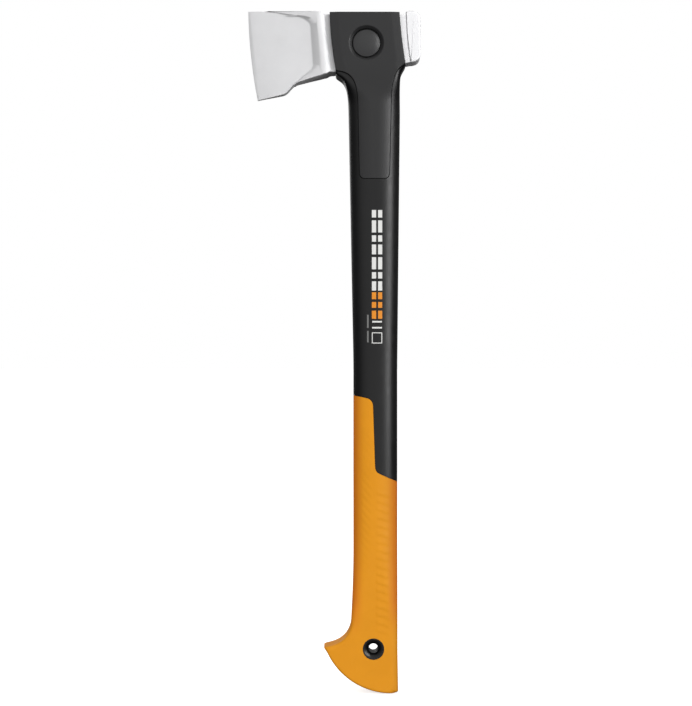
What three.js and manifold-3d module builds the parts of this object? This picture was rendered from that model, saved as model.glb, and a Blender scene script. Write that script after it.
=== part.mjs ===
// Splitting axe, about 600 mm long: a forged steel head held in a moulded handle with a soft grip.
//
// Frame, in millimetres: the origin is the centre of the hanging hole in the knob. +Z runs up the handle
// to the head, the cutting edge faces -X, the poll faces +X, and the part mirrors itself in the XZ plane.
//
// Pieces, from the inside out: the head's neck is clamped between two T-shaped covers, a tubular pin with
// a domed cap at each end crosses covers and neck, and the covers' tangs fill the fork of a hollow shaft.
// The shaft's lower end is closed by an end plug that forms the knob, and a soft sleeve is moulded over both.

import * as THREE from "three";
import { mergeVertices } from "three/addons/utils/BufferGeometryUtils.js";
import Module from "manifold-3d";

const wasm = await Module();
wasm.setup();

// ---- Driving dimensions ----

const GAP = 0.35; // between neighbouring pieces
const FAR = 80; // half-length of a cutter that has to pass right through

// Shaft and knob, as seen from the side: x at the bit side and x at the poll side.
const SHAFT = { front: -17.4, back: 21.1, half: 15.3 }; // over the whole grip
const SHAFT_TOP = { z: 471, front: -21.7, back: 23.5, half: 15.9 }; // below the flares
const TAPER_START_Z = 250;
const FRONT_FLARE = { x: -32.4, z: 487.9, r: 10.4 }; // concave arc under the bit side of the covers
const BACK_FLARE = { z: 482, topZ: 509.5, out: 4.3 }; // cubic swell under the poll side
const HOOK = { startZ: 80, z: 22, r: 19, front: -19.4 }; // concave arc above the hook
const HOOK_TIP = { x: -43.4, z: 0.8 };
const KNOB = { x: 15.4, z: 22.6, r: 61.4 }; // convex arc under the knob
const KNOB_BACK = { z: -36, x: 21.7 };
const SHAFT_ROUNDNESS = 2.6; // exponent of the superellipse section
const KNOB_ROUNDNESS = 4.5;
const KNOB_EDGE_R = 3; // rounding along the knob's lower edge
const SLEEVE_T = 2.5;
const WALL_T = 3.2;
const SIDES = 40;

// Where the sleeve ends on the shaft: high on the bit side, low on the poll side.
const SLEEVE_EDGE = { frontZ: 221, backZ: 145.5, r: 6.5 };
const SLEEVE_STEP = { topX: -0.1, topZ: 218, bottomX: 1.7, bottomZ: 154.5 }; // the two corners of its step

// Head.
const EDGE = { topX: -109.7, topZ: 557.3, midX: -107.5, midZ: 518, botX: -101.4, botZ: 479.1 };
const LEAN = (EDGE.botX - EDGE.topX) / (EDGE.topZ - EDGE.botZ); // the edge leans back towards its heel
const SHOULDER = { x: -42.5, topX: -45.6, topZ: 555.3, botZ: 501, half: 14.6, run: 5.5 };
const NECK = { half: 10.5, topZ: 553.1, frontBotZ: 502.8, backBotZ: 511 };
const NECK_WAIST = { front: -33, back: 21, topZ: 547, botZ: 512.5 };
const BEVEL = { width: 3.9, half: 1.78 };
const FACE = { slope: 0.17, base: 1.12 }; // hollow face: half thickness is base + slope * way from the edge
const RIM = { start: 16, slope: 0.219 }; // raised rim round the hollow face
const POLL = { x: 30, half: 11.3, topZ: 556.3, botZ: 511.4, back: 41.3, r: 7, smallR: 2.5 };

// Covers.
const COVER = { half: 18.3, topZ: 553.9, topFront: -37.8, topBack: 22.5, botFront: -32.6, botBack: 27.6 };
const COVER_BOT = { frontZ: 500.2, backZ: 510 };
const COVER_CHAMFER = 1.2;
const TANG = { front: -13.5, back: 15.5, botFront: -12.2, botBack: 14.1, botZ: 409.6, r: 3.5 };
const TANG_POCKET = { inset: 5, floor: 5.5, topZ: 488, botZ: 417 };

// Cross pin and its caps.
const PIN = { x: -6.1, z: 527.1, r: 6.2, bore: 3.6, half: 12.9 };
const RECESS = { outer: 15.1, inner: 12.7, depth: 4.8 };
const CAP = { r: 12.1, rim: 1.3, dome: 2.9, stem: 3.2, stemLength: 9 };

// Hanging hole.
const HOLE = { r: 4.1, dishR: 9.2, dishDepth: 7.8 };

// ---- From three.js geometry to solids and back ----

// The manifold-3d solid of a closed geometry.
function solid(geometry) {
  const bare = geometry.index ? geometry.toNonIndexed() : geometry.clone();
  bare.deleteAttribute("normal");
  bare.deleteAttribute("uv");
  const merged = mergeVertices(bare, 1e-4);
  return new wasm.Manifold(
    new wasm.Mesh({
      numProp: 3,
      vertProperties: merged.attributes.position.array,
      triVerts: new Uint32Array(merged.index.array),
    }),
  );
}

// A named three.js mesh of a solid.
function piece(name, body, material) {
  const found = body.getMesh();
  const geometry = new THREE.BufferGeometry();
  geometry.setAttribute("position", new THREE.BufferAttribute(found.vertProperties, 3));
  geometry.setIndex(new THREE.BufferAttribute(found.triVerts, 1));
  geometry.computeVertexNormals();
  const mesh = new THREE.Mesh(geometry, material);
  mesh.name = name;
  return mesh;
}

// A side outline, drawn as (x, z), extruded from y = from to y = to.
function sideways(shape, from, to, bevel = 0) {
  const geometry = new THREE.ExtrudeGeometry(shape, {
    depth: to - from - 2 * bevel,
    bevelEnabled: bevel > 0,
    bevelThickness: bevel,
    bevelSize: bevel,
    bevelOffset: -bevel,
    bevelSegments: 1,
    curveSegments: 10,
  });
  geometry.rotateX(Math.PI / 2); // the drawing's y becomes z, and its depth runs towards -Y
  geometry.translate(0, to - bevel, 0);
  return solid(geometry);
}

// A plan outline of half thicknesses, [x, half] from the bit to the poll, extruded up the head's lean.
function plan(halves) {
  const near = halves.map(([x, half]) => new THREE.Vector2(x, -half));
  const far = halves.map(([x, half]) => new THREE.Vector2(x, half)).reverse();
  const geometry = new THREE.ExtrudeGeometry(new THREE.Shape([...near, ...far]), {
    depth: 2 * FAR,
    bevelEnabled: false,
  });
  geometry.translate(0, 0, EDGE.midZ - FAR);
  const at = geometry.attributes.position;
  for (let i = 0; i < at.count; i++) at.setX(i, at.getX(i) - LEAN * (at.getZ(i) - EDGE.midZ));
  return solid(geometry);
}

// A round bar or cone along Y at (x, z).
function across(x, z, nearR, farR, from, to, sides = 48) {
  const geometry = new THREE.CylinderGeometry(farR, nearR, to - from, sides);
  return solid(geometry.translate(x, (from + to) / 2, z));
}

function box(x0, x1, y0, y1, z0, z1) {
  const geometry = new THREE.BoxGeometry(x1 - x0, y1 - y0, z1 - z0);
  return solid(geometry.translate((x0 + x1) / 2, (y0 + y1) / 2, (z0 + z1) / 2));
}

// ---- The handle's outer surface ----

const mix = (a, b, t) => a + (b - a) * t;
const clamp = (t) => Math.min(1, Math.max(0, t));

// x at the bit side of the handle, at height z.
function frontX(z) {
  const { x, z: flareZ, r } = FRONT_FLARE;
  if (z > flareZ) return x + Math.sqrt(Math.max(0, r * r - (z - flareZ) ** 2));
  const taper = (z - TAPER_START_Z) / (SHAFT_TOP.z - TAPER_START_Z);
  if (taper > 0) return mix(SHAFT.front, SHAFT_TOP.front, taper);
  if (z > HOOK.z) return mix(SHAFT.front, HOOK.front, clamp((HOOK.startZ - z) / (HOOK.startZ - HOOK.z)) ** 2);
  const low = HOOK.z - HOOK.r;
  if (z > low) return HOOK.front - HOOK.r + Math.sqrt(HOOK.r ** 2 - (HOOK.z - z) ** 2);
  if (z > HOOK_TIP.z) return mix(HOOK_TIP.x, HOOK.front - HOOK.r, (z - HOOK_TIP.z) / (low - HOOK_TIP.z));
  return KNOB.x - Math.sqrt(Math.max(0, KNOB.r ** 2 - (KNOB.z - z) ** 2));
}

// x at the poll side of the handle, at height z.
function backX(z) {
  const swell = clamp((z - BACK_FLARE.z) / (BACK_FLARE.topZ - BACK_FLARE.z)) ** 3 * BACK_FLARE.out;
  if (z > TAPER_START_Z) {
    const t = Math.min(1, (z - TAPER_START_Z) / (SHAFT_TOP.z - TAPER_START_Z));
    return mix(SHAFT.back, SHAFT_TOP.back, t) + swell;
  }
  return mix(SHAFT.back, KNOB_BACK.x, clamp(z / KNOB_BACK.z));
}

// Half the handle's thickness at height z, rounded off along the knob's lower edge.
function halfY(z) {
  const t = clamp((z - TAPER_START_Z) / (SHAFT_TOP.z - TAPER_START_Z));
  const up = Math.min(KNOB_EDGE_R, z - (KNOB.z - KNOB.r));
  const round = KNOB_EDGE_R - Math.sqrt(KNOB_EDGE_R ** 2 - (KNOB_EDGE_R - up) ** 2);
  return mix(SHAFT.half, SHAFT_TOP.half, t) - round;
}

const roundness = (z) => mix(KNOB_ROUNDNESS, SHAFT_ROUNDNESS, clamp(z / HOOK.startZ));

// Heights of the sections: close together round the knob and the flares, far apart on the straight shaft.
const BELLY_LEVELS = [0.01, 0.3, 1.3, 2.9, 6.3, 11.3, 17.3, 24.3, 31.3, 36].map((up) => KNOB.z - KNOB.r + up);
const KNOB_LEVELS = [...BELLY_LEVELS, HOOK_TIP.z, 3, 4, 6, 9, 12, 16, HOOK.z];
const STRAIGHT_LEVELS = [35, 48, 62, HOOK.startZ, TAPER_START_Z, SHAFT_TOP.z];
const SHAFT_LEVELS = [...KNOB_LEVELS, ...STRAIGHT_LEVELS, 482, FRONT_FLARE.z];
const FLARE_LEVELS = [491, 493.5, 495.7, 497.3, 498.2, 501, 504, 507, BACK_FLARE.topZ];

// The handle lofted through the sections at these heights, taken in by inset all round.
function handle(levels, inset) {
  const rows = levels.length - 1;
  const geometry = new THREE.CylinderGeometry(1, 1, 1, SIDES, rows);
  const at = geometry.attributes.position;
  for (let i = 0; i < at.count; i++) {
    const z = levels[Math.round((0.5 + at.getY(i)) * rows)];
    const middle = (frontX(z) + backX(z)) / 2;
    const power = 2 / roundness(z);
    const bulge = (v, half) => (Math.abs(v) < 1e-9 ? 0 : Math.sign(v) * Math.abs(v) ** power * half);
    const wide = bulge(at.getX(i), middle - frontX(z) - inset);
    const deep = bulge(at.getZ(i), halfY(z) - inset);
    at.setXYZ(i, middle + wide, -deep, z);
  }
  return solid(geometry);
}

// Everything above the knob's lower edge when that is raised by inset.
function aboveBelly(inset) {
  const round = across(KNOB.x, KNOB.z, KNOB.r - inset, KNOB.r - inset, -FAR, FAR, 120);
  return round.add(box(-FAR, FAR, -FAR, FAR, KNOB.z, COVER.topZ));
}

const wholeHandle = handle([...SHAFT_LEVELS, ...FLARE_LEVELS], 0);

// ---- Side outlines ----

// The handle's side above the sleeve's edge, lowered by drop.
function aboveSleeve(drop) {
  const e = SLEEVE_EDGE;
  const p = SLEEVE_STEP;
  const shape = new THREE.Shape();
  shape.moveTo(-FAR, e.frontZ + 3 - drop);
  shape.lineTo(SHAFT.front, e.frontZ - drop);
  shape.lineTo(p.topX - e.r - drop, p.topZ + 0.9 - drop);
  shape.quadraticCurveTo(p.topX - drop, p.topZ - drop, p.topX - drop, p.topZ - e.r);
  shape.lineTo(p.bottomX - drop, p.bottomZ + 5);
  shape.quadraticCurveTo(p.bottomX - drop, p.bottomZ - drop, p.bottomX + 3, p.bottomZ - 1.5 - drop);
  shape.lineTo(SHAFT.back, e.backZ - drop);
  shape.lineTo(FAR, e.backZ - 12 - drop);
  shape.lineTo(FAR, 2 * COVER.topZ);
  shape.lineTo(-FAR, 2 * COVER.topZ);
  return shape;
}

// The T shape of the covers, grown by out all round.
function coverShape(out) {
  const c = COVER;
  const t = TANG;
  const shape = new THREE.Shape();
  shape.moveTo(c.topFront - out, c.topZ + out);
  shape.quadraticCurveTo(c.topFront + 0.6 - out, 528, c.botFront - out, COVER_BOT.frontZ - out);
  shape.bezierCurveTo(-20, 499 - out, t.front - out, 496, t.front - out, 480);
  shape.lineTo(t.botFront - out, t.botZ + t.r);
  shape.quadraticCurveTo(t.botFront - out, t.botZ - out, t.botFront + t.r, t.botZ - out);
  shape.lineTo(t.botBack - t.r, t.botZ - out);
  shape.quadraticCurveTo(t.botBack + out, t.botZ - out, t.botBack + out, t.botZ + t.r);
  shape.lineTo(t.back + out, 474);
  shape.bezierCurveTo(t.back + 0.6 + out, 497, 19 + out, 503 - out, c.botBack + out, COVER_BOT.backZ - out);
  shape.quadraticCurveTo(c.topBack + 1.2 + out, 528, c.topBack + out, c.topZ + out);
  return shape;
}

// The steel head from the side.
function headShape() {
  const p = POLL;
  const shape = new THREE.Shape();
  shape.moveTo(EDGE.topX, EDGE.topZ);
  shape.lineTo(SHOULDER.topX, SHOULDER.topZ);
  shape.lineTo(SHOULDER.topX + 2.6, NECK.topZ);
  shape.lineTo(p.x - 2.5, NECK.topZ);
  shape.lineTo(p.x - 2.3, p.topZ - p.smallR);
  shape.quadraticCurveTo(p.x - 2.3, p.topZ, p.x, p.topZ);
  shape.lineTo(p.back - p.r, p.topZ - 0.2);
  shape.quadraticCurveTo(p.back, p.topZ - 0.2, p.back, p.topZ - p.r - 1);
  shape.lineTo(p.back, p.botZ + p.r);
  shape.quadraticCurveTo(p.back, p.botZ + 0.6, p.back - p.r, p.botZ);
  shape.lineTo(p.x + 1.5, NECK.backBotZ);
  shape.lineTo(SHOULDER.x + 4.5, NECK.frontBotZ);
  shape.quadraticCurveTo(SHOULDER.x + 2.5, SHOULDER.botZ, SHOULDER.x - 1, SHOULDER.botZ);
  shape.lineTo(-68, 493.2); // underside of the cheek
  shape.bezierCurveTo(-72.5, 490.5, -74, 484.2, -82, 483.3); // inner corner of the beard
  shape.lineTo(EDGE.botX, EDGE.botZ);
  shape.quadraticCurveTo(-107.1, 512, EDGE.topX, EDGE.topZ);
  return shape;
}

// The hollow face: open towards the edge, closed by the raised rim on the three other sides.
function hollowShape() {
  const shape = new THREE.Shape();
  shape.moveTo(-FAR - 40, EDGE.topZ + 20);
  shape.lineTo(-92.4, EDGE.topZ + 20);
  shape.lineTo(-92.4, EDGE.topZ);
  shape.lineTo(-56, 551.3);
  shape.quadraticCurveTo(-50, 550.3, -49.8, 541);
  shape.lineTo(-49.8, 511);
  shape.lineTo(-68, 492.4);
  shape.lineTo(-68, EDGE.botZ - 20);
  shape.lineTo(-FAR - 40, EDGE.botZ - 20);
  return shape;
}

// ---- Pieces ----

function axeHead() {
  const edgeX = EDGE.midX;
  const faceHalf = (s) => FACE.base + FACE.slope * s;
  const rimHalf = (s) => faceHalf(RIM.start) + RIM.slope * (s - RIM.start);
  const length = SHOULDER.x - edgeX;
  const neckAndPoll = [
    [SHOULDER.x + SHOULDER.run, NECK.half],
    [POLL.x - 0.3, NECK.half],
    [POLL.x + 0.9, POLL.half],
    [POLL.back + 8, POLL.half],
  ];
  const bit = [
    [edgeX, 0.15],
    [edgeX + BEVEL.width, BEVEL.half],
  ];
  const rimStart = [edgeX + RIM.start, faceHalf(RIM.start)];
  const side = sideways(headShape(), -FAR, FAR);
  const thin = plan([...bit, [SHOULDER.x, faceHalf(length)], ...neckAndPoll]);
  const thick = plan([...bit, rimStart, [SHOULDER.x, rimHalf(length)], ...neckAndPoll]);
  const rim = thick.subtract(sideways(hollowShape(), -FAR, FAR));
  const w = NECK_WAIST;
  return thin
    .add(rim)
    .intersect(side)
    .subtract(box(w.front, w.back, -FAR, FAR, w.topZ, COVER.topZ + 10))
    .subtract(box(w.front, w.back, -FAR, FAR, EDGE.botZ, w.botZ))
    .subtract(across(PIN.x, PIN.z, PIN.r + GAP, PIN.r + GAP, -FAR, FAR));
}

// One of the two covers: side is -1 for the front one and 1 for the rear one.
function cover(side) {
  const half = (from, to) => (side < 0 ? [-to, -from] : [from, to]);
  const [y0, y1] = half(GAP / 2, COVER.half);
  const block = sideways(coverShape(0), -COVER.half, COVER.half, COVER_CHAMFER).intersect(
    box(-FAR, FAR, y0, y1, COVER_BOT.frontZ - 3, COVER.topZ + 5),
  );
  const tang = sideways(coverShape(0), y0, y1).intersect(wholeHandle);
  const p = TANG_POCKET;
  const [p0, p1] = half(GAP / 2 - 1, SHAFT_TOP.half - p.floor);
  const pocket = box(TANG.botFront + p.inset, TANG.botBack - p.inset, p0, p1, p.botZ, p.topZ);
  const [n0, n1] = half(-1, NECK.half + GAP);
  const w = NECK_WAIST;
  const neckRoom = box(w.front - 1, w.back + 1, n0, n1, w.botZ - GAP, w.topZ + GAP)
    .add(box(-FAR, w.front + GAP, n0, n1, 503, COVER.topZ + 5))
    .add(box(w.back - GAP, FAR, n0, n1, 509.5, COVER.topZ + 5));
  const [c0, c1] = half(COVER.half - RECESS.depth, COVER.half + 0.01);
  const [outer, inner] = [RECESS.outer, RECESS.inner];
  const recess = across(PIN.x, PIN.z, side < 0 ? outer : inner, side < 0 ? inner : outer, c0, c1);
  return block
    .add(tang)
    .subtract(pocket)
    .subtract(neckRoom)
    .subtract(recess)
    .subtract(across(PIN.x, PIN.z, PIN.r + GAP, PIN.r + GAP, -FAR, FAR));
}

function handleShaft() {
  const slot = sideways(coverShape(GAP), -FAR, FAR);
  const upper = wholeHandle.intersect(sideways(aboveSleeve(0), -FAR, FAR));
  const core = handle(SHAFT_LEVELS.filter((z) => z >= 35 && z <= TAPER_START_Z), SLEEVE_T);
  const bore = handle([20, 35, 62, HOOK.startZ, TAPER_START_Z, 400], SLEEVE_T + WALL_T);
  const headRoom = sideways(headShape(), -NECK.half - GAP, NECK.half + GAP);
  return upper.add(core).subtract(bore).subtract(slot).subtract(headRoom);
}

function endPlug() {
  const inset = SLEEVE_T + 0.5;
  const knob = handle([...KNOB_LEVELS, 35 - GAP], inset).intersect(aboveBelly(inset));
  const spigot = handle([20, 35, 52], SLEEVE_T + WALL_T + GAP);
  const boss = across(0, 0, HOLE.dishR, HOLE.dishR, -SHAFT.half, SHAFT.half);
  return drillHole(knob.add(spigot).add(boss));
}

// The hanging hole, with a dish at each mouth.
function drillHole(body) {
  const { r, dishR, dishDepth } = HOLE;
  const inside = SHAFT.half - dishDepth;
  return body
    .subtract(across(0, 0, r, r, -FAR, FAR))
    .subtract(across(0, 0, dishR - 0.8, r, -SHAFT.half - 0.01, -inside))
    .subtract(across(0, 0, r, dishR - 0.8, inside, SHAFT.half + 0.01));
}

function gripSleeve() {
  const outer = handle(SHAFT_LEVELS.filter((z) => z <= TAPER_START_Z), 0);
  const inset = SLEEVE_T - GAP;
  const inner = handle(SHAFT_LEVELS.filter((z) => z <= TAPER_START_Z), inset).intersect(aboveBelly(inset));
  return outer
    .subtract(inner)
    .subtract(sideways(aboveSleeve(GAP), -FAR, FAR))
    .subtract(across(0, 0, HOLE.dishR + GAP, HOLE.dishR + GAP, -FAR, FAR));
}

function crossPin() {
  return across(PIN.x, PIN.z, PIN.r, PIN.r, -PIN.half, PIN.half).subtract(
    across(PIN.x, PIN.z, PIN.bore, PIN.bore, -FAR, FAR),
  );
}

// A domed cap whose stem presses into the pin: side is -1 in front and 1 behind.
function pinCap(side) {
  const { r, rim, dome, stem, stemLength } = CAP;
  const seat = COVER.half - RECESS.depth + GAP;
  const profile = [
    [0, -stemLength],
    [stem, -stemLength],
    [stem, 0],
    [r, 0],
    [r, rim],
  ];
  for (let i = 1; i <= 8; i++) {
    const t = i / 8;
    profile.push([r * (1 - t), rim + (dome - rim) * (1 - (1 - t) ** 2)]);
  }
  const points = profile.map(([x, y]) => new THREE.Vector2(x, y));
  const geometry = new THREE.LatheGeometry(points, 48);
  if (side < 0) geometry.rotateZ(Math.PI);
  geometry.translate(PIN.x, side * seat, PIN.z);
  return solid(geometry);
}

// ---- The axe ----

const steel = new THREE.MeshStandardMaterial({ color: 0xc4c6c8, roughness: 0.42, metalness: 1 });
const pinSteel = new THREE.MeshStandardMaterial({ color: 0x8f9296, roughness: 0.35, metalness: 1 });
const coverPlastic = new THREE.MeshStandardMaterial({ color: 0x2b2b2c, roughness: 0.55, metalness: 0 });
const shaftPlastic = new THREE.MeshStandardMaterial({ color: 0x1f1f1f, roughness: 0.4, metalness: 0 });
const capPlastic = new THREE.MeshStandardMaterial({ color: 0x262627, roughness: 0.35, metalness: 0 });
const gripRubber = new THREE.MeshStandardMaterial({ color: 0xe0962c, roughness: 0.6, metalness: 0 });

const axe = new THREE.Group();
axe.add(
  piece("axe_head", axeHead(), steel),
  piece("socket_cover_front", cover(-1), coverPlastic),
  piece("socket_cover_rear", cover(1), coverPlastic),
  piece("cross_pin", crossPin(), pinSteel),
  piece("pin_cap_front", pinCap(-1), capPlastic),
  piece("pin_cap_rear", pinCap(1), capPlastic),
  piece("handle_shaft", handleShaft(), shaftPlastic),
  piece("end_plug", endPlug(), shaftPlastic),
  piece("grip_sleeve", gripSleeve(), gripRubber),
);

export default axe;
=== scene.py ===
"""Splitting axe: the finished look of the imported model, with a floor, studio light and a camera."""

import math

import bpy
import numpy as np
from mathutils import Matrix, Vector


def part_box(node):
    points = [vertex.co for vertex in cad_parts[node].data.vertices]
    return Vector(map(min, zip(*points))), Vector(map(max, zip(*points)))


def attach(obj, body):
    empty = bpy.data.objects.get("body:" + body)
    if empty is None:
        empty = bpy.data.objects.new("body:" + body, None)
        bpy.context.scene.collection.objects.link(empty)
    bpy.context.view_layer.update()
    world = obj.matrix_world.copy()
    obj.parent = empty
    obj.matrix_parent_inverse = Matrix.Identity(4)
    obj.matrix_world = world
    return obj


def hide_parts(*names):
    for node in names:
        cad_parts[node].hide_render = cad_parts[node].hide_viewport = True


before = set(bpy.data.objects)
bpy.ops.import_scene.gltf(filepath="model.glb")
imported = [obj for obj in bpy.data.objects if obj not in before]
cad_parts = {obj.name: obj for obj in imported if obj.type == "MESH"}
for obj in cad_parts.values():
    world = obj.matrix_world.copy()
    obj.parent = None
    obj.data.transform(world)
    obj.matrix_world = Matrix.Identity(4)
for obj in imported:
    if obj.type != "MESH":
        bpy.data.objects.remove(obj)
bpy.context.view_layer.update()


# ---- Head ----
# One drop forging of carbon steel: bit, cheeks, a neck that the socket grips, and a square poll behind.
# Each face is hollowed between a raised rim and the flared cheek. Blasted, then lacquered.

MM = 0.001
EDGE_MIDDLE = (-107.5, 518.0)
LEAN = 0.1061  # how far the edge, shoulder and poll lean forward for each mm of height
POLL_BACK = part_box("axe_head")[1].x / MM
NECK_HALF = 10.5
POLL_HALF = 11.3


def bend(*handles, steps=8):
    """Points along the Bezier curve with these handles, without the first."""
    found = []
    for step in range(1, steps + 1):
        t = step / steps
        row = [np.array(handle, float) for handle in handles]
        while len(row) > 1:
            row = [a + (b - a) * t for a, b in zip(row, row[1:])]
        found.append(tuple(row[0]))
    return found


def draw(name, points, low, high):
    """An outline of (x, z) points, extruded corner by corner from one vertex, then given depth in Y."""
    bpy.ops.object.select_all(action="DESELECT")
    bpy.ops.mesh.primitive_plane_add(size=MM)
    piece = bpy.context.object
    piece.name = name
    bpy.ops.object.mode_set(mode="EDIT")
    bpy.ops.mesh.select_mode(type="VERT")
    bpy.ops.mesh.merge(type="CENTER")
    x, z = points[0]
    bpy.ops.transform.translate(value=(x * MM, low * MM, z * MM))
    for (x0, z0), (x1, z1) in zip(points, points[1:]):
        step = ((x1 - x0) * MM, 0, (z1 - z0) * MM)
        bpy.ops.mesh.extrude_vertices_move(TRANSFORM_OT_translate={"value": step})
    bpy.ops.mesh.select_all(action="SELECT")
    bpy.ops.mesh.edge_face_add()
    bpy.ops.mesh.extrude_region_move(TRANSFORM_OT_translate={"value": (0, (high - low) * MM, 0)})
    point_outwards()
    return piece


def point_outwards():
    """Turns every face of the piece in edit mode outwards, and leaves edit mode."""
    bpy.ops.mesh.select_all(action="SELECT")
    bpy.ops.mesh.remove_doubles(threshold=0.001 * MM)
    bpy.ops.mesh.normals_make_consistent(inside=False)
    bpy.ops.object.mode_set(mode="OBJECT")


def edit(piece, mode, chosen):
    """Opens the piece in edit mode with only the vertices, edges or faces chosen(element) selected."""
    bpy.ops.object.select_all(action="DESELECT")
    piece.select_set(True)
    bpy.context.view_layer.objects.active = piece
    bpy.ops.object.mode_set(mode="EDIT")
    bpy.ops.mesh.select_mode(type=mode)
    bpy.ops.mesh.select_all(action="DESELECT")
    bpy.ops.object.mode_set(mode="OBJECT")
    elements = {"VERT": piece.data.vertices, "EDGE": piece.data.edges, "FACE": piece.data.polygons}[mode]
    for element in elements:
        element.select = bool(chosen(element))
    bpy.ops.object.mode_set(mode="EDIT")


def press(piece, moved):
    """Puts each vertex of the piece at moved(x, y, z), all in mm."""
    for vertex in piece.data.vertices:
        vertex.co = Vector(moved(*(vertex.co / MM))) * MM
    edit(piece, "FACE", lambda face: True)
    point_outwards()


def carve(piece, tool, how="DIFFERENCE"):
    """Cuts the piece with the tool, joins them, or keeps what they share. The tool is used up."""
    bpy.ops.object.select_all(action="DESELECT")
    bpy.context.view_layer.objects.active = piece
    modifier = piece.modifiers.new(how.title(), "BOOLEAN")
    modifier.operation = how
    modifier.solver = "EXACT"
    modifier.object = tool
    bpy.ops.object.modifier_apply(modifier=modifier.name)
    bpy.data.objects.remove(tool)


def block(name, x, y, z):
    """A straight block between two values of each of x, y and z."""
    corners = [(x[0], z[0]), (x[1], z[0]), (x[1], z[1]), (x[0], z[1])]
    return draw(name, corners, y[0], y[1])


side = [(-109.7, 557.3), (-47.0, 555.4)] + bend((-47.0, 555.4), (-45.4, 555.3), (-44.6, 554.2), steps=3)
side += bend((-44.6, 554.2), (-43.8, 553.2), (-42.4, 553.1), steps=3) + [(27.6, 553.1)]
side += [(27.9, 554.0)] + bend((27.9, 554.0), (28.1, 556.3), (31.2, 556.3), steps=6)
side += [(34.0, 556.2)] + bend((34.0, 556.2), (POLL_BACK, 556.0), (POLL_BACK, 546.6), steps=10)
side += [(POLL_BACK, 519.2)] + bend((POLL_BACK, 519.2), (POLL_BACK, 512.4), (34.6, 511.4), steps=7)
side += [(31.6, 511.0), (30.5, 510.8), (-36.2, 502.7)]
side += bend((-36.2, 502.7), (-38.4, 502.5), (-39.2, 501.9), steps=4)
side += bend((-39.2, 501.9), (-40.4, 500.9), (-43.0, 500.6), steps=4)
side += [(-55.5, 497.2), (-66.3, 494.0)]
side += bend((-66.3, 494.0), (-69.4, 493.0), (-71.4, 490.5), steps=4)
side += [(-74.4, 487.0)] + bend((-74.4, 487.0), (-76.6, 484.4), (-80.0, 483.7), steps=5)
side += [(-101.4, 479.1)] + bend((-101.4, 479.1), (-109.2, 518.2), (-109.7, 557.3), steps=24)
head = draw("axe_head_forging", side[:-1], -30, 30)

# Seen from above, as (distance behind the edge, half thickness): a micro bevel, the wedge, the rounded cheek
# that runs out in a hollow curve, the neck, and the thicker poll.
wedge = [(0, 0.12), (3.9, 1.75), (16, 3.7), (60.5, 13.8)]
wedge += bend((60.5, 13.8), (64.4, 14.7), (67.0, 13.9), steps=10)
wedge += bend((67.0, 13.9), (71.0, 12.6), (75.5, 12.4), steps=8)
wedge += [(76.5, 12.4), (78.0, NECK_HALF), (125.0, NECK_HALF), (127.0, POLL_HALF), (160, POLL_HALF)]
above = [(x, -half) for x, half in wedge] + [(x, half) for x, half in reversed(wedge)]


def stand_up(distance, height, half):
    """The plan is drawn lying down: this stands it up and leans it with the edge."""
    return EDGE_MIDDLE[0] + distance - LEAN * height, half, EDGE_MIDDLE[1] + height


plan = draw("plan", above, -100, 100)
press(plan, stand_up)
carve(head, plan, "INTERSECT")

FLOOR_TILT = 0.168  # how much the hollow's floor thickens for each mm behind the edge
FLANK_SLOPE = 0.62  # of the hollow's end towards the cheek
RELIEF = 30.0  # height of the tool that cuts the hollow


def hollow_tool(way):
    """The tool for the hollow in one face: a floor tilted like the wedge, and drafted, rounded sides."""
    floor = [(-130, 564.3), (-92.0, 556.9), (-73.4, 552.9), (-55.6, 549.8)]
    floor += [(-52.4, 506.6), (-68.7, 493.4), (-71.5, 470), (-130, 470)]
    tool = draw("hollow_tool", floor, 0, RELIEF)

    def sunk(x, depth, z):
        outer = depth > RELIEF / 2
        behind = x - (EDGE_MIDDLE[0] - LEAN * (z - EDGE_MIDDLE[1]))
        floor_y = 1.75 + FLOOR_TILT * (behind - 3.9)
        if outer and x > -60:
            x += RELIEF / FLANK_SLOPE
            z += 6 if z > 520 else -6
        if outer and x > -100:
            z += 7 if z > 520 else -9
        return x, way * (floor_y + (RELIEF if outer else 0)), z

    def ends_of(edge):
        return [tool.data.vertices[i].co / MM for i in edge.vertices]

    def upright(edge, low, high):
        one, other = ends_of(edge)
        climbs = abs(abs(one.y) - abs(other.y)) > RELIEF / 2
        return climbs and max(one.x, other.x) > -40 and low < one.z < high

    def at_foot(edge):
        return all(abs(end.y) < 16 and -93 < end.x < -40 for end in ends_of(edge))

    press(tool, sunk)
    for low, high, radius in ((530, 600, 7.0), (470, 530, 3.2)):
        edit(tool, "EDGE", lambda edge: upright(edge, low, high))
        bpy.ops.mesh.bevel(offset=radius * MM, segments=6, affect="EDGES", clamp_overlap=False)
        point_outwards()
    edit(tool, "EDGE", at_foot)
    bpy.ops.mesh.bevel(offset=3.8 * MM, segments=8, affect="EDGES", clamp_overlap=True)
    point_outwards()
    return tool


def step_tool(way):
    """The tool that leaves the forging 0.8 mm lower before the poll, up to a curved, drafted edge."""
    edge = [(28.2, 560)] + bend((28.2, 560), (28.4, 531), (33.4, 505), steps=16)
    tool = draw("step_tool", [(20, 505), (20, 560)] + edge, NECK_HALF, NECK_HALF + 4)
    press(tool, lambda x, depth, z: (x + (4 if depth > 12 and x > 21 else 0), way * depth, z))
    return tool


for way in (-1, 1):
    carve(head, hollow_tool(way))
    carve(head, step_tool(way))

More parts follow.
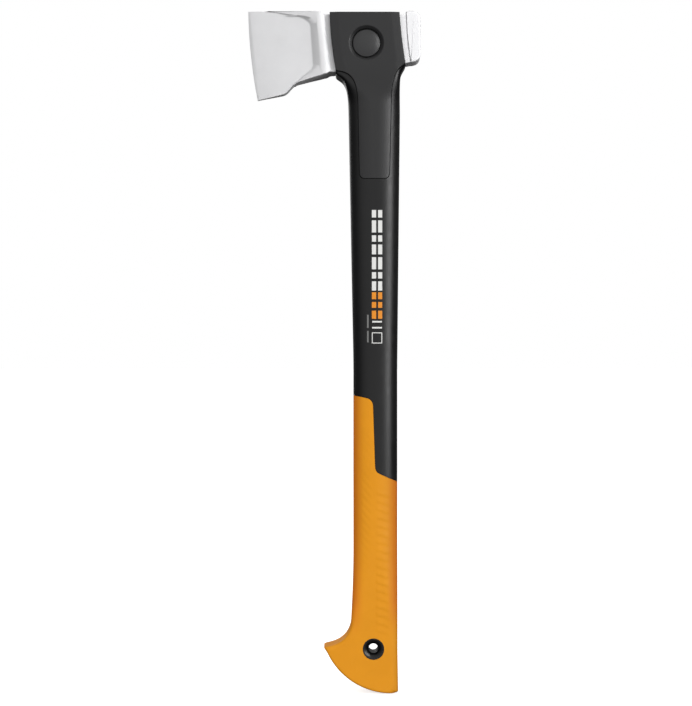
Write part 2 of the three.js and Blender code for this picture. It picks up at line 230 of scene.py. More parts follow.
# The neck is waisted inside the socket and drilled for the pin.
pin_low, pin_high = (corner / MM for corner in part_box("cross_pin"))
PIN_X, PIN_Z = (pin_low.x + pin_high.x) / 2, (pin_low.z + pin_high.z) / 2
carve(head, block("notch", (-33, 21), (-20, 20), (547, 560)))
carve(head, block("notch", (-33, 21), (-20, 20), (480, 512.5)))


def bar(name, x, z, radius, low, high):
    """A round bar along Y."""
    bpy.ops.object.select_all(action="DESELECT")
    place = (x * MM, (low + high) / 2 * MM, z * MM)
    long = (high - low) * MM
    bpy.ops.mesh.primitive_cylinder_add(
        vertices=96, radius=radius * MM, depth=long, location=place, rotation=(math.pi / 2, 0, 0)
    )
    piece = bpy.context.object
    piece.name = name
    bpy.ops.object.transform_apply(location=True, rotation=True, scale=True)
    return piece


PIN_HOLE = 6.55  # radius
carve(head, bar("drill", PIN_X, PIN_Z, PIN_HOLE, -30, 30))


def break_edges(piece, width, segments, chosen, sharpness=0.5):
    """Rounds the convex sharp edges of the piece whose middle, in mm, is chosen."""
    places = piece.data.vertices
    normals = {}
    for face in piece.data.polygons:
        for key in face.edge_keys:
            normals.setdefault(key, []).append((face.normal.copy(), face.center.copy()))

    def wanted(edge):
        sides = normals[edge.key]
        middle = (places[edge.vertices[0]].co + places[edge.vertices[1]].co) / 2
        if len(sides) != 2 or sides[0][0].angle(sides[1][0], 0) < sharpness:
            return False
        convex = sides[0][0].dot(sides[1][1] - middle) < 0
        return convex and chosen(middle / MM)

    edit(piece, "EDGE", wanted)
    bpy.ops.mesh.bevel(offset=width * MM, segments=segments, affect="EDGES", clamp_overlap=False)
    point_outwards()


break_edges(head, 1.5, 4, lambda p: p.x > 28.5 and (p.x > 35 or p.z > 554 or p.z < 513), 0.9)
break_edges(head, 0.5, 3, lambda p: -98 < p.x < -46 and abs(p.y) > 2.5)
break_edges(head, 1.2, 3, lambda p: -44 < p.x < -36 and abs(p.y) > 12)


def linear(code):
    """An sRGB hex colour as linear red, green, blue and alpha."""
    parts = [int(code[i : i + 2], 16) / 255 for i in (1, 3, 5)]
    return (*[c / 12.92 if c <= 0.04045 else ((c + 0.055) / 1.055) ** 2.4 for c in parts], 1.0)


def add(material, kind, settings=None, **links):
    """Adds a node to a material or the world, sets its sockets and options, and links the sockets named."""
    tree = material.node_tree
    made = tree.nodes.new(kind)
    for key, value in (settings or {}).items():
        if isinstance(key, int) or key in made.inputs:
            made.inputs[key].default_value = value
        else:
            setattr(made, key, value)
    for key, source in links.items():
        socket = made.inputs[int(key[1:])] if key[1:].isdigit() else made.inputs[key.replace("_", " ")]
        tree.links.new(socket, source)
    return made


def new_material(name, **sockets):
    """A material whose shader has these sockets set, with that shader and the Object coordinates."""
    material = bpy.data.materials.new(name)
    material.use_nodes = True
    shader = material.node_tree.nodes["Principled BSDF"]
    for key, value in sockets.items():
        shader.inputs[key.replace("_", " ")].default_value = value
    place = add(material, "ShaderNodeTexCoord").outputs["Object"]
    return material, shader, place


def vary(material, place, size, low, high):
    """A noise of grain `size` mm that runs between two values."""
    noise = add(material, "ShaderNodeTexNoise", {"Scale": 1 / (size * MM), "Detail": 3.0}, Vector=place)
    spread = add(
        material, "ShaderNodeMapRange", {"From Min": 0.3, "From Max": 0.7, "To Min": low, "To Max": high},
        Value=noise.outputs["Fac"],
    )
    return spread.outputs["Result"]


def relief(material, shader, height, depth, strength):
    """Bumps the shader by a height of 0 to 1 that stands for `depth` mm."""
    bump = add(material, "ShaderNodeBump", {"Strength": strength, "Distance": depth * MM}, Height=height)
    material.node_tree.links.new(shader.inputs["Normal"], bump.outputs["Normal"])


# Carbon steel, blasted after forging and clear lacquered: pale, even and nearly matt, with a grain of about
# 0.4 mm and faint broad clouding left by the hammer and the belt.
steel, steel_shader, steel_place = new_material(
    "blasted_forged_steel", Metallic=1.0, Roughness=0.7, Base_Color=linear("#e9e9ea")
)
cloud = vary(steel, steel_place, 26, 0.0, 1.0)
tone = add(
    steel, "ShaderNodeMix", {"data_type": "RGBA", 6: linear("#e7e7e8"), 7: linear("#ebebec")}, Factor=cloud
)
steel.node_tree.links.new(steel_shader.inputs["Base Color"], tone.outputs[2])
steel.node_tree.links.new(steel_shader.inputs["Roughness"], vary(steel, steel_place, 9, 0.67, 0.73))
relief(steel, steel_shader, vary(steel, steel_place, 0.45, 0.0, 1.0), 0.02, 0.35)


def finish_piece(piece, material, slot, *nodes, angle=35):
    """Shades the piece, gives it its material, and fixes it in place of the CAD nodes named."""
    bpy.ops.object.select_all(action="DESELECT")
    piece.select_set(True)
    bpy.context.view_layer.objects.active = piece
    bpy.ops.object.shade_smooth_by_angle(angle=math.radians(angle))
    flatten = piece.modifiers.new("Flatten", "WEIGHTED_NORMAL")  # large faces stay flat beside rounded edges
    flatten.keep_sharp = True
    bpy.ops.object.modifier_apply(modifier=flatten.name)
    piece.data.materials.clear()
    piece.data.materials.append(material)
    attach(piece, "root")
    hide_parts(*nodes)


finish_piece(head, steel, "head_steel", "axe_head", angle=28)


# ---- Shaft ----
# A hollow moulding of black glass-filled nylon. It is forked at the top round the tangs of the socket, and
# stepped down below, where the grip is moulded over it. Semi gloss, with a pad print on the front.

KNOB_CENTRE, KNOB_RADIUS = (15.4, 22.6), 61.4  # the arc under the knob
HOOK_TIP = (-43.1, 0.6)

# The bit side and the poll side of the whole handle, from the knob up, as (x, z).
bit_side = [HOOK_TIP] + bend(HOOK_TIP, (-43.3, 1.25), (-42.4, 1.4), steps=4)
bit_side += [(-37.5, 2.5)] + bend((-37.5, 2.5), (-26.5, 5.2), (-20.6, 12.2), (-19.4, 22.0), steps=16)
bit_side += bend((-19.4, 22.0), (-18.4, 40.0), (-17.4, 60.0), (-17.4, 90.0), steps=12)
bit_side += [(-17.4, 240.0)] + bend((-17.4, 240.0), (-17.4, 250.0), (-17.6, 260.0), steps=4)
bit_side += [(-21.7, 466.0)] + bend((-21.7, 466.0), (-22.0, 486.0), (-23.4, 494.4), (-29.5, 498.2), steps=14)
bit_side += bend((-29.5, 498.2), (-32.4, 499.9), (-33.0, 500.6), (-33.1, 502.2), steps=4) + [(-33.1, 512.0)]
poll_side = [(19.6, -38.75)] + bend((19.6, -38.75), (21.4, -38.7), (21.65, -36.6), steps=5)
poll_side += [(21.1, 0.0), (21.1, 240.0)] + bend((21.1, 240.0), (21.1, 250.0), (21.25, 260.0), steps=4)
poll_side += [(23.4, 466.0)] + bend((23.4, 466.0), (23.4, 486.0), (22.4, 497.0), (25.0, 503.0), steps=12)
poll_side += bend((25.0, 503.0), (26.6, 506.4), (28.0, 508.0), (28.4, 509.6), steps=5) + [(28.4, 512.0)]
bit_side, poll_side = np.array(bit_side), np.array(poll_side)


def off_line(points, line):
    """How far each (x, z) point is from a line of straight pieces."""
    nearest = np.full(len(points), 1e9)
    for start, end in zip(line, line[1:]):
        along = end - start
        t = np.clip((points - start) @ along / (along @ along), 0, 1)
        nearest = np.minimum(nearest, np.linalg.norm(points - start - t[:, None] * along, axis=1))
    return nearest


def rounding(distance, reach, depth=None):
    """How far a face drops this far in from an edge that is rounded over a reach, and down to a depth."""
    share = np.clip(1 - distance / reach, 0, 1)
    return (reach if depth is None else depth) * (1 - np.sqrt(1 - share**2))


def glide(z, low, high):
    """0 below the first limit, 1 above the second, and a smooth rise between."""
    t = np.clip((z - low) / (high - low), 0, 1)
    return t * t * (3 - 2 * t)


def handle_half(points, inset=0.0):
    """Half the handle's thickness at each (x, z): oval over the shaft, flat with softer edges on the knob."""
    x, z = points.T
    half = 15.3 + 0.6 * np.clip((z - 250) / 221, 0, 1) - 0.5 * (1 - glide(z, 10, 90))
    oval = glide(z, 12, 110) - glide(z, 474, 500)
    reach, depth = 3.0 + 17.0 * oval, 3.0 + 10.6 * oval
    drop = rounding(off_line(points, bit_side) - inset, reach, depth)
    drop += rounding(off_line(points, poll_side) - inset, reach + 4.0 * (1 - oval), depth + 3.0 * (1 - oval))
    under = KNOB_RADIUS - np.hypot(x - KNOB_CENTRE[0], z - KNOB_CENTRE[1])
    drop += np.where(z < KNOB_CENTRE[1], rounding(under - inset, 2.2), 0)
    return np.maximum(half - inset - drop, 0.25)


def left_edge(z, inset=0.0):
    """x at the bit side of the handle at each height, down to the arc under the knob."""
    x = np.interp(z, bit_side[:, 1], bit_side[:, 0])
    reach = np.sqrt(np.maximum(KNOB_RADIUS**2 - (z - KNOB_CENTRE[1]) ** 2, 0))
    belly = KNOB_CENTRE[0] - reach - 1.2 * np.clip((z + 5) / 5.6, 0, 1) ** 2
    return np.where(z < HOOK_TIP[1], belly, x) + inset


def right_edge(z, inset=0.0):
    """x at the poll side of the handle at each height."""
    return np.interp(z, poll_side[:, 1], poll_side[:, 0]) - inset


def tube(name, levels, columns, left, right, half):
    """A closed tube extruded ring by ring, each ring pressed to the outline and to the half thickness."""
    start = (0, 0, levels[0] * MM)
    bpy.ops.object.select_all(action="DESELECT")
    bpy.ops.mesh.primitive_circle_add(vertices=columns, radius=0.1, fill_type="NGON", location=start)
    piece = bpy.context.object
    piece.name = name
    bpy.ops.object.transform_apply(location=True, rotation=False, scale=False)
    bpy.ops.object.mode_set(mode="EDIT")
    bpy.ops.mesh.select_mode(type="FACE")
    for low, high in zip(levels, levels[1:]):
        bpy.ops.mesh.extrude_region_move(TRANSFORM_OT_translate={"value": (0, 0, (high - low) * MM)})
    bpy.ops.object.mode_set(mode="OBJECT")
    co = np.empty(len(piece.data.vertices) * 3)
    piece.data.vertices.foreach_get("co", co)
    co = co.reshape(-1, 3)
    turn = np.round(np.arctan2(co[:, 1], co[:, 0]) / (2 * math.pi / columns)) * (2 * math.pi / columns)
    z = co[:, 2] / MM
    low, high = left(z), right(z)
    x = (low + high) / 2 + (high - low) / 2 * np.cos(turn)
    y = np.where(np.abs(np.sin(turn)) < 1e-6, 0, np.sign(np.sin(turn))) * half(np.column_stack([x, z]))
    piece.data.vertices.foreach_set("co", (np.column_stack([x, y, z]) * MM).ravel())
    edit(piece, "FACE", lambda face: True)
    point_outwards()
    return piece


def spaced(*stops):
    """Levels from (height, step) pairs: from each height the step holds up to the next height."""
    levels = []
    for (low, step), (high, _) in zip(stops, stops[1:]):
        count = max(1, round((high - low) / step))
        levels += [low + (high - low) * i / count for i in range(count)]
    return levels + [stops[-1][0]]


def sleeve_line(drop):
    """The side of everything above the sleeve's stepped edge, lowered by drop."""
    line = [(-60, 228.0 - drop), (-17.4, 220.9 - drop), (-6.6 - drop, 218.9 - drop)]
    line += bend(line[-1], (-0.5 - drop, 217.8 - drop), (-0.1 - drop, 211.4), steps=10)
    line += [(1.6 - drop, 159.8)]
    line += bend(line[-1], (1.7 - drop, 154.8 - drop), (4.4, 153.2 - drop), steps=8)
    return line + [(21.2, 145.3 - drop), (60, 130 - drop), (60, 620), (-60, 620)]


def inside(name, levels, columns, inset):
    """The handle's own form, this far inside its surface."""
    return tube(
        name, levels, columns, lambda z: left_edge(z, inset), lambda z: right_edge(z, inset),
        lambda points: handle_half(points, inset),
    )


shaft_levels = spaced((134, 4.0), (470, 1.6), (486, 1.0), (500, 0.8), (509.5, 1.0))
shaft = tube("handle_shaft_moulding", shaft_levels, 96, left_edge, right_edge, handle_half)
carve(shaft, draw("above", sleeve_line(0.0), -40, 40), "INTERSECT")
carve(shaft, inside("core", spaced((35, 6.0), (232, 1)), 64, 2.5), "UNION")
carve(shaft, inside("hollow", spaced((20, 8.0), (400, 1)), 48, 5.7))


def tang_outline(out):
    """The T of a socket half, grown by out: block above, tang below, and the flares between."""
    line = [(22.7 + out, 553.9 + out)]
    line += bend(line[-1], (24.2 + out, 532), (27.8 + out, 510.6), steps=10)
    line += bend((27.8 + out, 510.6), (27.3, 508.9 - out), (25.6, 508.0 - out), steps=4)
    line += bend(line[-1], (18.0 + out, 502.4), (15.6 + out, 493.0), (15.5 + out, 476.0), steps=16)
    line += [(14.1 + out, 415.5)]
    line += bend(line[-1], (14.0 + out, 409.6 - out), (9.0, 409.6 - out), steps=7) + [(-7.2, 409.6 - out)]
    line += bend(line[-1], (-12.2 - out, 409.6 - out), (-12.2 - out, 415.5), steps=7)
    line += [(-13.4 - out, 474.0)]
    line += bend(line[-1], (-13.9 - out, 493.0), (-17.6 - out, 501.6 - out), (-31.6, 502.9 - out), steps=16)
    line += bend(line[-1], (-32.8 - out, 503.0 - out), (-33.0 - out, 504.6), steps=4)
    return line + bend(line[-1], (-37.8 - out, 530), (-38.2 - out, 553.9 + out), steps=10)


for low, high in ((-40, -8), (8, 40)):  # the windows for the two tangs, with a web left between
    carve(shaft, draw("window", tang_outline(0.4), low, high))
carve(shaft, draw("head_room", [(-60, 500.1), (60, 514.4), (60, 560), (-60, 560)], -12.8, 12.8))

# Black glass-filled nylon from a polished mould: nearly smooth, semi gloss, with a faint orange peel.
# The pad print on the front is plain bars and an empty box that say nothing.
MOULDED_BLACK = linear("#0c0c0d")
nylon, nylon_shader, nylon_place = new_material(
    "semi_gloss_black_nylon", Roughness=0.36, IOR=1.38, Base_Color=MOULDED_BLACK
)
nylon.node_tree.links.new(nylon_shader.inputs["Roughness"], vary(nylon, nylon_place, 6, 0.3, 0.38))
relief(nylon, nylon_shader, vary(nylon, nylon_place, 1.1, 0.0, 1.0), 0.02, 0.3)


def band(material, value, low, high):
    """1 where the value in mm lies between two limits, else 0."""
    middle, reach = (low + high) / 2 * MM, (high - low) / 2 * MM
    near = add(material, "ShaderNodeMath", {"operation": "COMPARE", 1: middle, 2: reach}, i0=value)
    return near.outputs["Value"]


def combine(material, operation, first, second):
    """The sum, difference or product of two values."""
    return add(material, "ShaderNodeMath", {"operation": operation}, i0=first, i1=second).outputs["Value"]


def bars(material, x, z, across, stretches):
    """The share of print in a column of bars: all as wide as across, each as long as its stretch."""
    along = band(material, z, *stretches[0])
    for low, high in stretches[1:]:
        along = combine(material, "ADD", along, band(material, z, low, high))
    return combine(material, "MULTIPLY", band(material, x, *across), along)


split = add(nylon, "ShaderNodeSeparateXYZ", Vector=nylon_place)
print_x, print_y, print_z = split.outputs
in_front = add(nylon, "ShaderNodeMath", {"operation": "LESS_THAN", 1: 0.0}, i0=print_y).outputs["Value"]
columns = ((-1.4, 2.3), (4.0, 7.6))
white_bars = [(312, 320), (322.5, 328), (330.5, 341), (343.5, 352), (354.5, 360), (362.5, 373), (375.5, 382)]
orange_bars = [(287.5, 294.5), (297, 302), (304.5, 310.5)]
white = combine(nylon, "ADD", *[bars(nylon, print_x, print_z, column, white_bars) for column in columns])
orange = combine(nylon, "ADD", *[bars(nylon, print_x, print_z, column, orange_bars) for column in columns])
dashes = bars(nylon, print_x, print_z, (-1.2, 7.4), [(279.0, 280.4), (284.2, 285.6)])
box_outside = bars(nylon, print_x, print_z, (-1.4, 7.6), [(266, 275.6)])
box_inside = bars(nylon, print_x, print_z, (-0.7, 6.9), [(266.7, 274.9)])
empty_box = combine(nylon, "SUBTRACT", box_outside, box_inside)
white = combine(nylon, "ADD", white, combine(nylon, "ADD", dashes, empty_box))
grey = bars(nylon, print_x, print_z, (-5.6, -4.2), [(267, 277), (279.5, 291)])
under = {}
for colour, share in (("#d2d2d0", white), ("#d8841c", orange), ("#6e6e6d", grey)):
    shown = combine(nylon, "MULTIPLY", share, in_front)
    ink = {"data_type": "RGBA", 6: MOULDED_BLACK, 7: linear(colour)}
    printed = add(nylon, "ShaderNodeMix", ink, Factor=shown, **under)
    under = {"i6": printed.outputs[2]}
nylon.node_tree.links.new(nylon_shader.inputs["Base Color"], printed.outputs[2])

finish_piece(shaft, nylon, "shaft_nylon", "handle_shaft", angle=40)


# ---- Socket halves ----
# Two T-shaped mouldings of glass-filled nylon that clamp the neck between them, tangs flush in the fork of
# the shaft. Their faces have a fine spark-eroded grain, so they are duller than the shaft.

COVER_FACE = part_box("socket_cover_rear")[1].y / MM
tang_line = np.array(tang_outline(0.0))
bottom = int(np.argmin(tang_line[:, 1]))
cover_right = tang_line[: bottom + 1][::-1]
cover_left = tang_line[bottom + 1 :]


def cover_half(points):
    """Half the covers' thickness: the shaft's own surface on the tang, a face with broken sides above."""
    x, z = points.T
    high = glide(z, 478, 509)
    face = COVER_FACE - 0.13 * np.clip(7.5 - off_line(points, cover_left[-14:]), 0, 7.5)
    face -= 0.13 * np.clip(7.5 - off_line(points, cover_right[-14:]), 0, 7.5)
    edges = rounding(off_line(points, tang_line), 0.35 + 0.35 * high)
    return (1 - high) * handle_half(points) + high * face - edges


def cover_left_edge(z):
    return np.interp(z, cover_left[:, 1], cover_left[:, 0])


def cover_right_edge(z):
    return np.interp(z, cover_right[:, 1], cover_right[:, 0])


def turned(name, profile, way, x, z, steps=96):
    """A round piece along Y, spun from (radius, distance from the middle plane); way is -1 in front."""
    piece = draw(name, [(x + out, deep) for out, deep in profile], 0, 0.5)
    for vertex in piece.data.vertices:  # the profile is drawn in x and z, then laid along Y
        out, _, deep = vertex.co / MM
        vertex.co = Vector((out, way * deep, z)) * MM
    edit(piece, "FACE", lambda face: True)
    bpy.ops.mesh.remove_doubles(threshold=0.001 * MM)
    bpy.ops.mesh.delete(type="ONLY_FACE")
    bpy.ops.mesh.select_all(action="SELECT")
    bpy.ops.mesh.spin(steps=steps, angle=2 * math.pi, center=(x * MM, 0, z * MM), axis=(0, 1, 0))
    point_outwards()
    return piece


cover_levels = spaced((409.6, 0.12), (410.2, 0.6), (416, 3.0), (473, 1.2), (488, 0.8), (499, 0.3), (504, 1))
cover_levels = cover_levels[:-1] + spaced((504, 0.45), (512.4, 2.5), (551.5, 0.5), (553.2, 0.12), (553.9, 1))
# Round dish for the pin's cap: a flat seat, a drafted wall and soft lips.
dish = [(0, 13.5), (12.6, 13.5), (12.6, 15.2)] + bend((12.6, 15.2), (12.65, 16.0), (13.1, 16.4), steps=6)
dish += [(14.4, 17.6)] + bend((14.4, 17.6), (14.8, 18.0), (15.4, 18.31), steps=8) + [(15.4, 22), (0, 22)]
# Room for the neck, with its lower edge sloped like the head's, and a wider room at the bit side.
room = [(-60, 500.1), (60, 514.4), (60, 560), (20.6, 560), (20.6, 547.4)]
room += [(-32.6, 547.4), (-32.6, 560), (-60, 560)]
wide_room = [(-60, 500.1), (-28.2, 503.8), (-28.2, 547.4), (-32.6, 547.4), (-32.6, 560), (-60, 560)]
covers = []
for way, name in ((-1, "socket_cover_front"), (1, "socket_cover_rear")):
    cover = tube(f"{name}_moulding", cover_levels, 112, cover_left_edge, cover_right_edge, cover_half)
    joint = (-40, -0.17) if way < 0 else (0.17, 40)
    carve(cover, block("half", (-70, 70), joint, (400, 560)), "INTERSECT")
    carve(cover, turned("dish", dish, way, PIN_X, PIN_Z))
    carve(cover, bar("drill", PIN_X, PIN_Z, PIN_HOLE, -30, 30))
    carve(cover, draw("neck_room", room, -10.9, 10.9))
    carve(cover, draw("neck_room", wide_room, -12.8, 12.8))
    covers.append(cover)

# The same nylon from a spark-eroded mould: matt, with a fine pebbled grain of about 0.5 mm.
grained, grained_shader, grained_place = new_material(
    "spark_grained_black_nylon", Roughness=0.43, IOR=1.43, Base_Color=linear("#1b1b1c")
)
grained.node_tree.links.new(grained_shader.inputs["Roughness"], vary(grained, grained_place, 7, 0.4, 0.47))
relief(grained, grained_shader, vary(grained, grained_place, 0.55, 0.0, 1.0), 0.03, 0.5)
for cover in covers:
    finish_piece(cover, grained, "socket_nylon", cover.name.replace("_moulding", ""), angle=40)


# ---- Pin and caps ----
# A zinc-plated tube through covers and neck, hidden once assembled. A low domed nylon cap, smooth from the
# mould, is pressed into each end.

zinc, zinc_shader, zinc_place = new_material(
    "zinc_plated_tube", Metallic=1.0, Roughness=0.35, Base_Color=linear("#b3b6ba")
)
zinc.node_tree.links.new(zinc_shader.inputs["Roughness"], vary(zinc, zinc_place, 2, 0.3, 0.42))
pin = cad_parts["cross_pin"]
pin.data.materials.clear()
pin.data.materials.append(zinc)

smooth, smooth_shader, smooth_place = new_material(
    "smooth_black_nylon_cap", Roughness=0.32, IOR=1.5, Base_Color=linear("#222223")
)
smooth.node_tree.links.new(smooth_shader.inputs["Roughness"], vary(smooth, smooth_place, 4, 0.28, 0.38))
for way, name in ((-1, "pin_cap_front"), (1, "pin_cap_rear")):
    cap_low, cap_high = (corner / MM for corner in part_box(name))
    rim, seat = (cap_high.x - cap_low.x) / 2, 13.85
    section = [(0, 5.0), (3.1, 5.0), (3.1, seat), (rim - 0.3, seat), (rim, seat + 0.3), (rim, seat + 1.2)]
    section += bend((rim, seat + 1.2), (rim, seat + 2.2), (rim - 1.3, seat + 2.4), steps=6)
    section += bend((rim - 1.3, seat + 2.4), (rim * 0.5, seat + 4.2), (0, seat + 4.25), steps=14)
    cap = turned(f"{name}_moulding", section, way, PIN_X, PIN_Z)
    finish_piece(cap, smooth, "cap_nylon", name, angle=40)


# ---- End plug ----
# A glossy black nylon plug that closes the shaft. It is the core of the knob, and its boss shows through the
# grip as the dished mouth of the hanging hole.

BOSS_FACE = 14.55
OVERLAP = 0.01  # the two halves of the hole are cut this far past the middle, so that they meet
plug_levels = spaced((-35.8, 0.7), (-28, 2.0), (-2, 1.0), (26, 3.0), (34.6, 1))
plug = inside("end_plug_moulding", plug_levels, 64, 3.0)
carve(plug, inside("spigot", spaced((20, 6.0), (52, 1)), 48, 6.1), "UNION")
carve(plug, bar("boss", 0, 0, 9.2, -BOSS_FACE, BOSS_FACE), "UNION")
mouth = [(0, 0), (4.05, 0), (4.05, 8.4)] + bend((4.05, 8.4), (4.2, 11.6), (6.2, 13.1), steps=8)
mouth += bend((6.2, 13.1), (7.6, 14.2), (8.9, BOSS_FACE + 0.02), steps=6) + [(8.9, 20), (0, 20)]
mouth = [(out, deep - OVERLAP) for out, deep in mouth]
for way in (-1, 1):
    carve(plug, turned("mouth", mouth, way, 0, 0, steps=72))
gloss, gloss_shader, gloss_place = new_material(
    "glossy_black_nylon", Roughness=0.26, IOR=1.4, Base_Color=linear("#0a0a0b")
)
gloss.node_tree.links.new(gloss_shader.inputs["Roughness"], vary(gloss, gloss_place, 5, 0.24, 0.32))
finish_piece(plug, gloss, "plug_nylon", "end_plug", angle=40)


# ---- Grip ----
# A soft sleeve of orange thermoplastic elastomer, moulded over the shaft and the plug. Rows of shallow waves
# are embossed on both sides, and the sleeve ends in a hook that stops the hand.

WAVE_PITCH = 7.05


def waves(points):
    """Height of the embossed waves: a row of strong strokes by the poll side, faint ones by the bit side."""
    x, z = points.T
    share = np.clip((x - 2.2) / 12.2, 0, 1)
    phase = (z + 3.6 * share**1.5) / WAVE_PITCH % 1.0
    stroke = np.where(phase < 0.28, glide(phase, 0.0, 0.28), 1 - glide(phase, 0.28, 0.95))
    row = glide(x, 2.2, 3.6) * (1 - glide(x, 12.6, 14.6)) * glide(z, 10, 18) * (1 - glide(z, 136, 142))
    strong = 0.3 * stroke * row
    phase = (z + 1.05 * (x + 11.0)) / WAVE_PITCH % 1.0
    stroke = np.where(phase < 0.3, glide(phase, 0.0, 0.3), 1 - glide(phase, 0.3, 0.95))
    row = glide(x, -11.6, -9.6) * (1 - glide(x, -2.6, -0.8)) * glide(z, 60, 110) * (1 - glide(z, 186, 196))
    return strong + 0.16 * stroke * row


def grip_half(points):
    """Half the grip's thickness: the handle's own, with the waves standing half proud of it."""
    return handle_half(points) + waves(points) - 0.15


grip_levels = spaced((-38.75, 0.1), (-38.2, 0.35), (-35, 0.9), (-28, 1.6), (-2, 0.3), (4, 0.8), (148, 1.6))
grip_levels = grip_levels[:-1] + spaced((148, 1.6), (224, 1))
grip = tube("grip_sleeve_moulding", grip_levels, 128, left_edge, right_edge, grip_half)
carve(grip, draw("above", sleeve_line(0.3), -40, 40))
inner_levels = spaced((-36.5, 0.7), (-28, 2.0), (-2, 1.0), (26, 6.0), (240, 1))
carve(grip, inside("inner", inner_levels, 64, 2.25))
carve(grip, bar("hole", 0, 0, 9.35, -30, 30))

# Soft-touch elastomer: satin, with a fine moulded grain of about 0.6 mm. Painted shade makes it a little
# darker and redder towards both sides above the hook.
rubber, rubber_shader, rubber_place = new_material(
    "soft_touch_orange_elastomer", Roughness=0.62, IOR=1.28, Base_Color=linear("#d48a14")
)
shade = add(
    rubber, "ShaderNodeMix", {"data_type": "RGBA", 6: linear("#d18812"), 7: linear("#d68c15")},
    Factor=vary(rubber, rubber_place, 18, 0.0, 1.0),
)
grip_x, _, grip_z = add(rubber, "ShaderNodeSeparateXYZ", Vector=rubber_place).outputs
# Painted shade: the colour turns darker and redder towards both sides of the grip above the hook.
off_middle = add(rubber, "ShaderNodeMath", {"operation": "SUBTRACT", 1: 1.5 * MM}, i0=grip_x).outputs["Value"]
off_middle = add(rubber, "ShaderNodeMath", {"operation": "ABSOLUTE"}, i0=off_middle).outputs["Value"]
sides = add(
    rubber, "ShaderNodeMapRange",
    {"interpolation_type": "SMOOTHSTEP", "From Min": 9 * MM, "From Max": 19.5 * MM}, Value=off_middle,
)
above_hook = add(
    rubber, "ShaderNodeMapRange",
    {"interpolation_type": "SMOOTHSTEP", "From Min": 8 * MM, "From Max": 45 * MM}, Value=grip_z,
)
painted_side_shade = combine(rubber, "MULTIPLY", sides.outputs["Result"], above_hook.outputs["Result"])
with_painted_side_shade = add(
    rubber, "ShaderNodeMix", {"data_type": "RGBA", 7: linear("#c96f14")}, Factor=painted_side_shade, i6=shade.outputs[2]
)
rubber.node_tree.links.new(rubber_shader.inputs["Base Color"], with_painted_side_shade.outputs[2])
rubber.node_tree.links.new(rubber_shader.inputs["Roughness"], vary(rubber, rubber_place, 5, 0.58, 0.68))
relief(rubber, rubber_shader, vary(rubber, rubber_place, 0.6, 0.0, 1.0), 0.03, 0.4)
finish_piece(grip, rubber, "grip_elastomer", "grip_sleeve", angle=40)


# ---- Floor, light and camera ----
# A plain pale floor under the knob. Tall soft boxes stand at the right in front, weaker ones at the left,
# above and behind; the room is bright in front and dark behind and below, so that dark edges read.

floor_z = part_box("grip_sleeve")[0].z / MM - 0.6
bpy.ops.object.select_all(action="DESELECT")
bpy.ops.mesh.primitive_plane_add(size=60, location=(0, 0, floor_z * MM))
floor = bpy.context.object
floor.name = "floor"
paint, paint_shader, paint_place = new_material(
    "matt_white_floor", Roughness=0.95, Base_Color=linear("#e6e6e5"), Emission_Color=linear("#ffffff"),
    Emission_Strength=0.72,
)
paint.node_tree.links.new(paint_shader.inputs["Roughness"], vary(paint, paint_place, 400, 0.93, 0.97))
floor.data.materials.append(paint)
floor.visible_glossy = False
floor.visible_diffuse = False

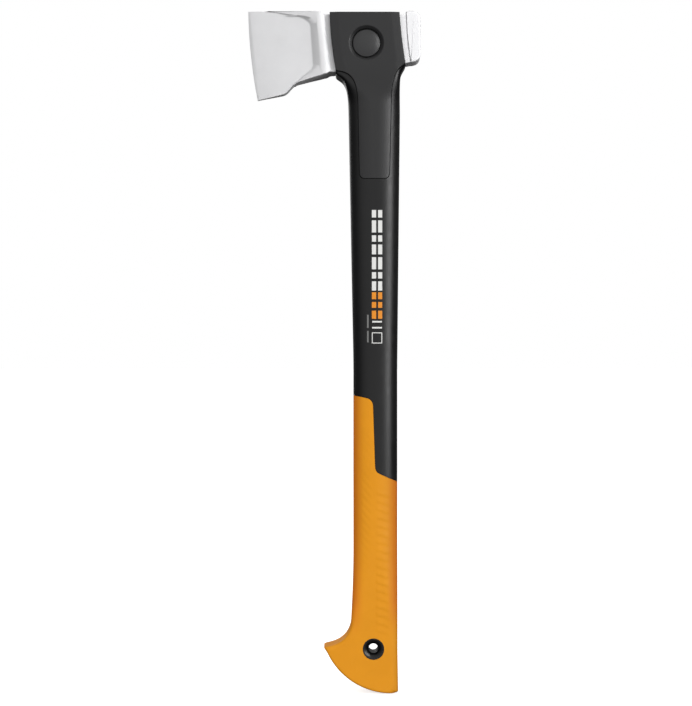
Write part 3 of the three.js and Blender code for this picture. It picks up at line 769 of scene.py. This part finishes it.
world = bpy.data.worlds.new("pale_studio")
bpy.context.scene.world = world
world.use_nodes = True
world.node_tree.nodes.clear()
toward = add(world, "ShaderNodeTexCoord").outputs["Generated"]
height = add(world, "ShaderNodeSeparateXYZ", Vector=toward).outputs["Z"]
to_front = {"operation": "DOT_PRODUCT", 1: (0.03, -0.999, 0.0)}
facing = add(world, "ShaderNodeVectorMath", to_front, i0=toward).outputs["Value"]
rise = {"From Min": -0.8, "From Max": 0.8, "To Min": 0.8, "To Max": 1.26}
front = add(world, "ShaderNodeMapRange", rise, Value=height)
rise = {"From Min": -0.3, "From Max": 0.7, "To Min": 0.02, "To Max": 0.4}
rest = add(world, "ShaderNodeMapRange", rise, Value=height)
turn = {"interpolation_type": "SMOOTHSTEP", "From Min": 0.18, "From Max": 0.95}
share = add(world, "ShaderNodeMapRange", turn, Value=facing)
level = add(
    world, "ShaderNodeMix", {"data_type": "FLOAT"}, Factor=share.outputs["Result"], i2=rest.outputs["Result"],
    i3=front.outputs["Result"],
)
room_light = add(world, "ShaderNodeBackground", {"Strength": 1.0}, Color=level.outputs[0])
backdrop = add(world, "ShaderNodeBackground", {"Color": (1, 1, 1, 1), "Strength": 1.0})
seen = add(world, "ShaderNodeLightPath").outputs["Is Camera Ray"]
both = add(world, "ShaderNodeMixShader", i0=seen, i1=room_light.outputs[0], i2=backdrop.outputs[0])
add(world, "ShaderNodeOutputWorld", Surface=both.outputs[0])

AIM = Vector((-0.024, 0, 0.26))


def soft_box(name, place, width, tall, watts):
    """A rectangular light at a place in metres, facing the middle of the axe."""
    bpy.ops.object.light_add(type="AREA", location=place)
    lamp = bpy.context.object
    lamp.name = name
    lamp.rotation_euler = (AIM - Vector(place)).to_track_quat("-Z", "Y").to_euler()
    lamp.data.shape = "RECTANGLE"
    lamp.data.size = width
    lamp.data.size_y = tall
    lamp.data.energy = watts
    return lamp


# The key and the fill light only matt surfaces and the corner box only shiny ones, so highlights stay narrow.
soft_box("key", (1.25, -1.45, 0.5), 0.7, 1.7, 20).visible_glossy = False
soft_box("corner", (1.35, -0.98, 0.8), 0.7, 1.5, 26).visible_diffuse = False
soft_box("fill", (-1.4, -0.9, 0.4), 1.0, 1.6, 10).visible_glossy = False
soft_box("top", (0.1, -0.2, 2.0), 1.6, 1.2, 4)
soft_box("back", (-1.0, 1.6, 1.2), 1.6, 1.6, 11)

camera_data = bpy.data.cameras.new("camera")
camera = bpy.data.objects.new("camera", camera_data)
bpy.context.scene.collection.objects.link(camera)
CAMERA_BACK = 1500.0
VIEW_TALL = 620.2  # of the plane through the middle of the axe
camera.location = Vector((-23.9, -CAMERA_BACK, 257.7)) * MM
camera.rotation_euler = (math.pi / 2, 0, 0)
camera_data.sensor_width = 36
camera_data.lens = camera_data.sensor_width * CAMERA_BACK / VIEW_TALL
camera_data.clip_end = 100
bpy.context.scene.camera = camera
bpy.context.scene.view_settings.view_transform = "Standard"
